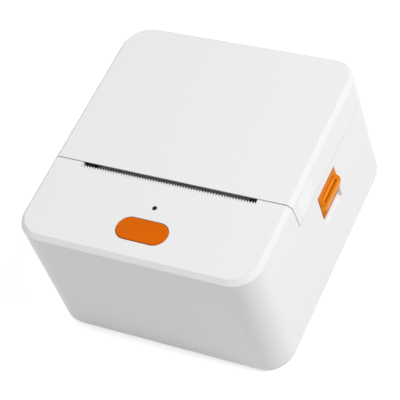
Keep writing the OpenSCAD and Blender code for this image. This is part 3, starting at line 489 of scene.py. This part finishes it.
@dataclass(frozen=True)
class LatchFinish(Finish):
    """A finger latch's plastic, with painted shade in dark bands along its grooves and painted
    highlights in light bands on its ridge and crest.
    """

    # painted shade: the dark colour laid along the grooves
    groove_shade_colour: Colour = (0.36, 0.082, 0.0)
    groove_drops: tuple[float, ...] = (2.9, 5.3, 14.4)
    # painted highlight: the light colour laid along the ridge
    ridge_highlight_colour: Colour = (0.95, 0.33, 0.03)
    ridge_drop: float = 4.1
    ridge_half: float = 0.45
    ridge_full: float = 0.5
    groove_half: float = 0.5
    groove_full: float = 0.4
    # painted highlight: the light colour laid along the crest, where the bulge catches the light
    crest_highlight_colour: Colour = (0.9, 0.36, 0.026)
    crest_drop: float = 8.2
    crest_half: float = 2.1
    crest_full: float = 0.35
    crest_highlight_share: float = 0.75
    end_gap: float = 2.0
    end_full: float = 0.95

    def _colour(self, tree: Tree, effects: SurfaceEffects) -> tuple:
        """Paints the grooves' shade and the ridge's and crest's highlights as bands at their distances
        under the latch's top edge.

        Args:
            tree: the material's tree
            effects: the shared node groups

        Returns:
            the colour and the mask of its slow changes
        """
        base, mask = super()._colour(tree, effects)
        low, high = corners("latch_right")
        place = tree.add("SeparateXYZ", {0: tree.add("TexCoord").outputs["Object"]})
        height = place.outputs["Z"]
        # painted highlight along the crest
        crest = self._band(tree, height, high[2] - self.crest_drop, self.crest_half, self.crest_full)
        colour = tree.mix(tree.math("MULTIPLY", crest, self.crest_highlight_share), base, self.crest_highlight_colour)
        middle = (low[1] + high[1]) / 2
        reach = (high[1] - low[1]) / 2 - self.end_gap
        along = self._band(tree, place.outputs["Y"], middle, reach, self.end_full)
        # painted highlight along the ridge
        ridge = self._band(tree, height, high[2] - self.ridge_drop, self.ridge_half, self.ridge_full)
        colour = tree.mix(tree.math("MULTIPLY", ridge, along), colour, self.ridge_highlight_colour)
        # painted shade along each groove
        for drop in self.groove_drops:
            line = self._band(tree, height, high[2] - drop, self.groove_half, self.groove_full)
            colour = tree.mix(tree.math("MULTIPLY", line, along), colour, self.groove_shade_colour)
        return colour, mask

    @staticmethod
    def _band(tree: Tree, place: bpy.types.NodeSocket, middle: float, half: float,
              full: float) -> bpy.types.NodeSocket:
        """A mask that is 1 near a place and fades to 0 away from it.

        Args:
            tree: the material's tree
            place: the coordinate, in metres
            middle: the band's middle, in millimetres
            half: half of the band's width, in millimetres
            full: the share of that half that is fully 1

        Returns:
            the mask
        """
        away = tree.math("ABSOLUTE", tree.math("SUBTRACT", place, middle * MM))
        return tree.ramp(away, half * MM, half * full * MM)


FINISHES = {
    "white": Finish("shell_abs", "shell_white", srgb(238, 238, 238), 0.48, scale=2600.0,
                    depth=0.000006, mottle=0.012, wear=0.25, wear_colour=srgb(250, 250, 250),
                    round_edge=0.00035, dust=0.10, dust_colour=srgb(170, 168, 164), specular=0.25),
    "button": Finish("button_orange", "accent_orange", srgb(221, 102, 0), 0.42, scale=2600.0,
                     depth=0.000006, mottle=0.05, wear=0.15, wear_colour=srgb(250, 160, 50),
                     round_edge=0.0003, specular=0.06),
    # The latch's grooves carry painted shade, and its ridge and crest carry painted highlights (see
    # LatchFinish).
    "latch": LatchFinish("latch_orange", "accent_orange", srgb(228, 124, 0), 0.4, scale=2600.0,
                         depth=0.000006, mottle=0.05, wear=0.3, wear_colour=srgb(240, 150, 40),
                         round_edge=0.0003, specular=0.06),
    "dark": Finish("dark_abs", "dark_plastic", srgb(44, 44, 46), 0.55, wear=0.2,
                   wear_colour=srgb(96, 96, 98), dust=0.2),
    "liner": Finish("liner_abs", "dark_plastic", srgb(52, 52, 55), 0.5, wear=0.2,
                    wear_colour=srgb(100, 100, 102), dust=0.2),
    "lens": Finish("smoked_lens", "lamp_lens", srgb(14, 14, 16), 0.35, Texture.SMOOTH, wear=0.0,
                   specular=0.15),
    "feet": Finish("foot_rubber", "feet_rubber", srgb(38, 38, 38), 0.8, scale=1500.0,
                   depth=0.00003, dust=0.5, wear=0.1),
    "roller": Finish("roller_rubber", "roller_rubber", srgb(150, 147, 146), 0.7, Texture.GROUND,
                     scale=5000.0, depth=0.00001, axis=Axis.Y, dust=0.15, wear=0.1, sheen=0.15),
    "steel": Finish("plated_steel", "steel", srgb(196, 198, 202), 0.3, Texture.BRUSHED,
                    metallic=1.0, wear=0.3, axis=Axis.Z),
    "shaft": Finish("ground_shaft", "steel", srgb(205, 207, 210), 0.22, Texture.GROUND,
                    metallic=1.0, wear=0.2, axis=Axis.Y),
    "sheet": Finish("zinc_sheet", "steel", srgb(176, 179, 184), 0.38, Texture.BRUSHED,
                    metallic=1.0, wear=0.4, axis=Axis.X, mottle=0.15),
    "motor": Finish("motor_can", "steel", srgb(150, 153, 158), 0.42, Texture.GROUND,
                    metallic=1.0, wear=0.4, axis=Axis.X, mottle=0.2),
    "aluminium": Finish("extruded_aluminium", "aluminium", srgb(190, 192, 196), 0.34,
                        Texture.BRUSHED, metallic=1.0, axis=Axis.X, wear=0.4),
    "ceramic": Finish("glazed_ceramic", "ceramic", srgb(232, 228, 218), 0.16, Texture.SMOOTH,
                      wear=0.0, coat=0.5),
    "gear": Finish("acetal", "gear_plastic", srgb(232, 230, 222), 0.4, wear=0.1, dust=0.3,
                   dust_colour=srgb(120, 112, 96)),
    "bushing": Finish("bushing_acetal", "dark_plastic", srgb(60, 60, 62), 0.4, wear=0.1),
    "brass": Finish("turned_brass", "brass", srgb(216, 180, 96), 0.28, Texture.GROUND,
                    metallic=1.0, axis=Axis.Y),
    "board": BoardFinish("solder_mask", "board_green", srgb(18, 96, 62), 0.32, Texture.SMOOTH,
                         wear=0.0, coat=0.3),
    "chip": Finish("chip_epoxy", "chip_black", srgb(34, 34, 36), 0.55, scale=3200.0, wear=0.2,
                   wear_colour=srgb(110, 110, 112)),
    "film": FilmFinish("ribbon_film", "film", srgb(222, 172, 92), 0.3, Texture.SMOOTH, wear=0.0,
                       coat=0.4),
    "led": Finish("led_epoxy", "led", srgb(238, 236, 210), 0.15, Texture.SMOOTH, wear=0.0,
                  coat=0.5),
}


class Shape:
    """A closed mesh under construction, in millimetres in the printer's own frame."""

    def __init__(self) -> None:
        """Starts with nothing."""
        self.mesh = bmesh.new()

    def turned(self, profile: list[tuple[float, float]], centre: Point, steps: int = 48) -> None:
        """Turns a profile about an upright axis.

        Args:
            profile: the points as (radius, height), from one end of the axis to the other
            centre: the point of the axis at height 0
            steps: the number of steps around
        """
        points = [self.mesh.verts.new((centre[0] + radius, centre[1], centre[2] + height))
                  for radius, height in profile]
        edges = [self.mesh.edges.new(pair) for pair in zip(points, points[1:])]
        bmesh.ops.spin(self.mesh, geom=points + edges, cent=centre, axis=(0.0, 0.0, 1.0),
                       angle=math.tau, steps=steps, use_merge=True)

    def stadium(self, centre: Point, length: float, width: float, height: float,
                rounding: float = 0.0, steps: int = 64) -> None:
        """Adds an upright block with half-round ends along X.

        Args:
            centre: the middle of its underside
            length: its whole length
            width: its width
            height: its height
            rounding: the radius of its upper edge
            steps: the number of steps around both ends
        """
        ring = bmesh.ops.create_circle(self.mesh, cap_ends=True, radius=width / 2,
                                       segments=steps)["verts"]
        for vert in ring:
            vert.co.x += math.copysign((length - width) / 2, vert.co.x + 1e-4)
        bmesh.ops.translate(self.mesh, vec=centre, verts=ring)
        foot = ring[0].link_faces[0]
        grown = bmesh.ops.extrude_face_region(self.mesh, geom=[foot], use_keep_orig=True)["geom"]
        top = [part for part in grown if isinstance(part, bmesh.types.BMVert)]
        bmesh.ops.translate(self.mesh, vec=(0.0, 0.0, height), verts=top)
        if rounding:
            face = next(part for part in grown if isinstance(part, bmesh.types.BMFace))
            self._bevel(list(face.edges), rounding)

    def _bevel(self, edges: list, radius: float, segments: int = 4) -> None:
        """Rounds edges.

        Args:
            edges: the edges
            radius: how far the rounding reaches
            segments: its number of steps
        """
        bmesh.ops.bevel(self.mesh, geom=edges, offset=radius, offset_type="OFFSET", affect="EDGES",
                        segments=segments, profile=0.5, material=-1, clamp_overlap=True)

    def finish(self, name: str, crease: float = 35.0) -> bpy.types.Object:
        """Closes the mesh and makes it an object at the origin.

        Args:
            name: the object's name
            crease: the angle in degrees over which an edge stays sharp

        Returns:
            the object
        """
        bmesh.ops.remove_doubles(self.mesh, verts=self.mesh.verts, dist=1e-4)
        bmesh.ops.recalc_face_normals(self.mesh, faces=self.mesh.faces)
        bmesh.ops.scale(self.mesh, vec=(MM, MM, MM), verts=self.mesh.verts)
        data = bpy.data.meshes.new(name)
        self.mesh.to_mesh(data)
        self.mesh.free()
        data.polygons.foreach_set("use_smooth", [True] * len(data.polygons))
        data.set_sharp_from_angle(angle=math.radians(crease))
        made = bpy.data.objects.new(name, data)
        bpy.context.scene.collection.objects.link(made)
        return made


@dataclass
class Assembly:
    """A group of pieces that are modelled and dressed together."""

    materials: dict[str, bpy.types.Material]
    finishes: dict[str, str] = field(default_factory=dict)
    dressed: list[str] = field(default_factory=list)

    def build(self) -> None:
        """Makes the assembly's own pieces, then dresses its CAD nodes."""
        self.model()
        for node, finish in self.finishes.items():
            self.paint(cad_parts[node], finish)

    def model(self) -> None:
        """Makes the pieces that stand for CAD nodes; there are none unless an assembly adds them."""

    def paint(self, piece: bpy.types.Object, finish: str) -> None:
        """Puts one material on a piece.

        Args:
            piece: the piece
            finish: the finish's name in FINISHES
        """
        piece.data.materials.clear()
        piece.data.materials.append(self.materials[finish])
        self.dressed.append(piece.name)
        LOG.info("%s wears %s", piece.name, finish)

    def add(self, shape: Shape, name: str, body: str, finish: str, *stands_for: str) -> None:
        """Finishes a piece, hangs it on its body and lets it stand for CAD nodes.

        Args:
            shape: the piece's mesh
            name: the piece's name
            body: the body that it moves with
            finish: the finish's name in FINISHES
            stands_for: the CAD nodes that it takes the place of
        """
        piece = shape.finish(name)
        self.paint(piece, finish)
        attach(piece, body)
        if stands_for:
            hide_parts(*stands_for)


@dataclass
class Case(Assembly):
    """The moulded housing, its base, feet, button and lamp."""

    foot_radius: float = 4.45
    button_length: float = 24.7
    button_width: float = 11.4
    button_rounding: float = 0.55
    flange_out: float = 1.2
    flange_height: float = 1.1
    cap_rise: float = 2.9
    stem_radius: float = 2.2
    stem_chamfer: float = 0.2
    stem_overlap: float = 0.3
    lens_radius: float = 1.15
    lens_dome: float = 0.25
    collar_height: float = 1.2
    finishes: dict[str, str] = field(default_factory=lambda: {
        "main_housing": "white", "base_plate": "white", "base_screws": "steel",
        "hinge_rod": "shaft", "switch_plunger": "gear"})

    def model(self) -> None:
        """Makes the feet, the button and the lamp's lens."""
        self._feet()
        self._button()
        self._lens()

    def _feet(self) -> None:
        """Four rubber feet with a chamfered edge and a ring groove in their tread."""
        low, high = corners("rubber_feet")
        top = high[2]
        radius = self.foot_radius
        tread = [(0.0, 0.3), (1.3, 0.3), (1.6, 0.0), (2.5, 0.0), (2.7, 0.3), (3.1, 0.3), (3.3, 0.0),
                 (radius - 0.5, 0.0), (radius - 0.15, 0.15), (radius, 0.5), (radius, top), (0.0, top)]
        feet = Shape()
        for x in (low[0] + radius, high[0] - radius):
            for y in (low[1] + radius, high[1] - radius):
                feet.turned(tread, (x, y, 0.0))
        self.add(feet, "feet_moulded", "housing", "feet", "rubber_feet")

    def _button(self) -> None:
        """The feed button with a softly rounded cap, its flange and its stem."""
        low, high = corners("feed_button")
        x, y = (low[0] + high[0]) / 2, (low[1] + high[1]) / 2
        flange_low = high[2] - self.cap_rise - self.flange_height
        button = Shape()
        button.stadium((x, y, flange_low), self.button_length + 2 * self.flange_out,
                       self.button_width + 2 * self.flange_out, self.flange_height)
        button.stadium((x, y, flange_low + self.flange_height / 2), self.button_length,
                       self.button_width, high[2] - flange_low - self.flange_height / 2,
                       self.button_rounding)
        stem_top = flange_low - low[2] + self.stem_overlap
        stem = [(0.0, 0.0), (self.stem_radius - self.stem_chamfer, 0.0),
                (self.stem_radius, self.stem_chamfer), (self.stem_radius, stem_top), (0.0, stem_top)]
        button.turned(stem, (x, y, low[2]), steps=32)
        self.add(button, "feed_button_cap", "button", "button", "feed_button")

    def _lens(self) -> None:
        """The status lamp's light pipe, with a shallow dome and a collar."""
        low, high = corners("light_pipe")
        x, y = (low[0] + high[0]) / 2, (low[1] + high[1]) / 2
        collar = (high[0] - low[0]) / 2
        top = high[2] - low[2]
        radius = self.lens_radius
        turns = [math.radians(angle) for angle in (0, 18, 36, 54, 72)]
        dome = [(radius * math.cos(turn), top - self.lens_dome * (1 - math.sin(turn)))
                for turn in turns]
        profile = [(0.0, 0.0), (collar, 0.0), (collar, self.collar_height),
                   (radius, self.collar_height), *dome, (0.0, top)]
        lens = Shape()
        lens.turned(profile, (x, y, low[2]), steps=32)
        self.add(lens, "status_lens", "housing", "lens", "light_pipe")


@dataclass
class Lid(Assembly):
    """The lid over the roll bay with its liner, its roller and the roller's bushings."""

    finishes: dict[str, str] = field(default_factory=lambda: {
        "lid_shell": "white", "lid_liner": "liner", "liner_screws": "steel",
        "platen_bushings": "bushing", "platen_rubber": "roller", "platen_shaft": "shaft",
        "platen_gear": "gear"})


@dataclass
class PrintMechanism(Assembly):
    """The frame, the print head, the motor, its gears and the tear bar."""

    finishes: dict[str, str] = field(default_factory=lambda: {
        "mechanism_frame": "sheet", "frame_screws": "steel", "idler_gear": "gear",
        "reduction_gear": "gear", "motor_shaft": "shaft", "motor_pinion": "brass",
        "stepper_motor": "motor", "motor_screws": "steel", "gear_studs": "shaft",
        "head_heat_sink": "aluminium", "thermal_head": "ceramic", "head_driver_cover": "chip",
        "head_pin": "shaft", "head_springs": "steel", "spring_plate": "sheet",
        "head_ribbon": "film", "media_guide": "dark", "tear_bar": "white"})


@dataclass
class RollBay(Assembly):
    """The tray, the centring guides with their racks, and their pinion."""

    finishes: dict[str, str] = field(default_factory=lambda: {
        "roll_tray": "dark", "roll_guide_left": "gear", "roll_guide_right": "gear",
        "guide_rack_left": "gear", "guide_rack_right": "gear", "guide_pinion": "gear"})


@dataclass
class Latches(Assembly):
    """The two finger latches with their pins and springs."""

    finishes: dict[str, str] = field(default_factory=lambda: {
        "latch_left": "latch", "latch_right": "latch", "latch_pins": "steel",
        "latch_spring_left": "steel", "latch_spring_right": "steel"})


@dataclass
class Electronics(Assembly):
    """The boards, sensors, sockets and switches."""

    finishes: dict[str, str] = field(default_factory=lambda: {
        "main_board": "board", "main_board_parts": "chip", "port_board": "board",
        "power_socket": "dark", "usb_socket": "sheet", "button_board": "board",
        "tact_switch": "chip", "status_led": "led", "label_sensor": "chip", "lid_sensor": "chip"})


@dataclass(frozen=True)
class Lamp:
    """A square soft lamp that faces the printer."""

    name: str
    toward: Point
    distance: float
    size: float
    power: float

    def place(self) -> None:
        """Makes the lamp and turns it to the printer."""
        data = bpy.data.lights.new(self.name, "AREA")
        data.shape = "SQUARE"
        data.size = self.size
        data.energy = self.power
        lamp = bpy.data.objects.new(self.name, data)
        bpy.context.scene.collection.objects.link(lamp)
        direction = Vector(self.toward).normalized()
        lamp.location = direction * self.distance
        lamp.rotation_mode = "QUATERNION"
        lamp.rotation_quaternion = direction.to_track_quat("Z", "Y")


LAMPS = (
    Lamp("key_lamp", (0.75, 0.15, 0.95), distance=1.5, size=0.5, power=16.0),
    Lamp("top_lamp", (-0.7, 0.0, 0.7), distance=1.5, size=1.2, power=5.6),
    Lamp("front_lamp", (-0.5, -1.0, 0.35), distance=1.5, size=0.7, power=3.1),
)


@dataclass(frozen=True)
class Studio:
    """The floor, the lamps, the surroundings and the camera."""

    eye: Point = (0.317104, -0.355385, 0.597582)
    right: Point = (0.880372, 0.406256, -0.244745)
    up: Point = (-0.193640, 0.778946, 0.596444)
    lens: float = 145.017
    sensor: float = 36.0
    clip: tuple[float, float] = (0.05, 20.0)
    soft_strength: float = 0.213
    seen_strength: float = 1.0
    floor_half: float = 4.0
    floor_colour: Colour = (0.8, 0.8, 0.8)
    floor_glow: float = 0.62

    def build(self) -> None:
        """Builds the whole studio."""
        self._world()
        self._floor()
        for lamp in LAMPS:
            lamp.place()
        self._camera()

    def _world(self) -> None:
        """Soft even surroundings that look white to the camera and in reflections."""
        world = bpy.data.worlds.new("studio_world")
        bpy.context.scene.world = world
        world.use_nodes = True
        tree = Tree(world.node_tree)
        seen = self._seen(tree)
        soft = tree.add("Background", {"Color": (1.0, 1.0, 1.0), "Strength": self.soft_strength})
        white = tree.add("Background", {"Color": (1.0, 1.0, 1.0), "Strength": self.seen_strength})
        both = tree.add("MixShader", {0: seen, 1: soft.outputs[0], 2: white.outputs[0]})
        out = tree.add("OutputWorld")
        tree.tree.links.new(both.outputs[0], out.inputs["Surface"])

    @staticmethod
    def _seen(tree: Tree) -> bpy.types.NodeSocket:
        """1 for camera, mirror and see-through rays, and 0 for rays that light the object.

        Args:
            tree: the tree that the nodes go in

        Returns:
            the mask
        """
        path = tree.add("LightPath")
        glossy = tree.math("MAXIMUM", path.outputs["Is Camera Ray"], path.outputs["Is Glossy Ray"])
        return tree.math("MAXIMUM", glossy, path.outputs["Is Transmission Ray"])

    def _floor(self) -> None:
        """A pale floor that keeps the printer's shadow."""
        mesh = bpy.data.meshes.new("studio_floor")
        shape = bmesh.new()
        bmesh.ops.create_grid(shape, x_segments=2, y_segments=2, size=self.floor_half)
        shape.to_mesh(mesh)
        shape.free()
        floor = bpy.data.objects.new("studio_floor", mesh)
        bpy.context.scene.collection.objects.link(floor)
        made = bpy.data.materials.new("studio_paper")
        made.use_nodes = True
        tree = Tree(made.node_tree)
        paper = tree.add("BsdfDiffuse", {"Color": self.floor_colour})
        strength = tree.math("MULTIPLY", self._seen(tree), self.floor_glow)
        glow = tree.add("Emission", {"Color": (1.0, 1.0, 1.0), "Strength": strength})
        both = tree.add("AddShader", {0: paper.outputs[0], 1: glow.outputs[0]})
        out = tree.add("OutputMaterial")
        tree.tree.links.new(both.outputs[0], out.inputs["Surface"])
        mesh.materials.append(made)

    def _camera(self) -> None:
        """The camera, a little above and to the right of the printer, and rolled."""
        data = bpy.data.cameras.new("studio_camera")
        data.lens = self.lens
        data.sensor_width = self.sensor
        data.clip_start, data.clip_end = self.clip
        camera = bpy.data.objects.new("studio_camera", data)
        bpy.context.scene.collection.objects.link(camera)
        right, up = Vector(self.right), Vector(self.up)
        turn = Matrix((right, up, right.cross(up))).transposed().to_4x4()
        camera.matrix_world = Matrix.Translation(self.eye) @ turn
        bpy.context.scene.camera = camera
        bpy.context.scene.view_settings.view_transform = "Standard"


def main() -> None:
    """Builds the finishes, the assemblies and the studio in order."""
    logging.basicConfig(level=logging.INFO)
    effects = SurfaceEffects()
    materials = {key: finish.material(effects) for key, finish in FINISHES.items()}
    for kind in (Case, Lid, PrintMechanism, RollBay, Latches, Electronics):
        assembly = kind(materials)
        assembly.build()
        LOG.info("%s: %d pieces", kind.__name__, len(assembly.dressed))
    Studio().build()


if __name__ == "__main__":
    main()
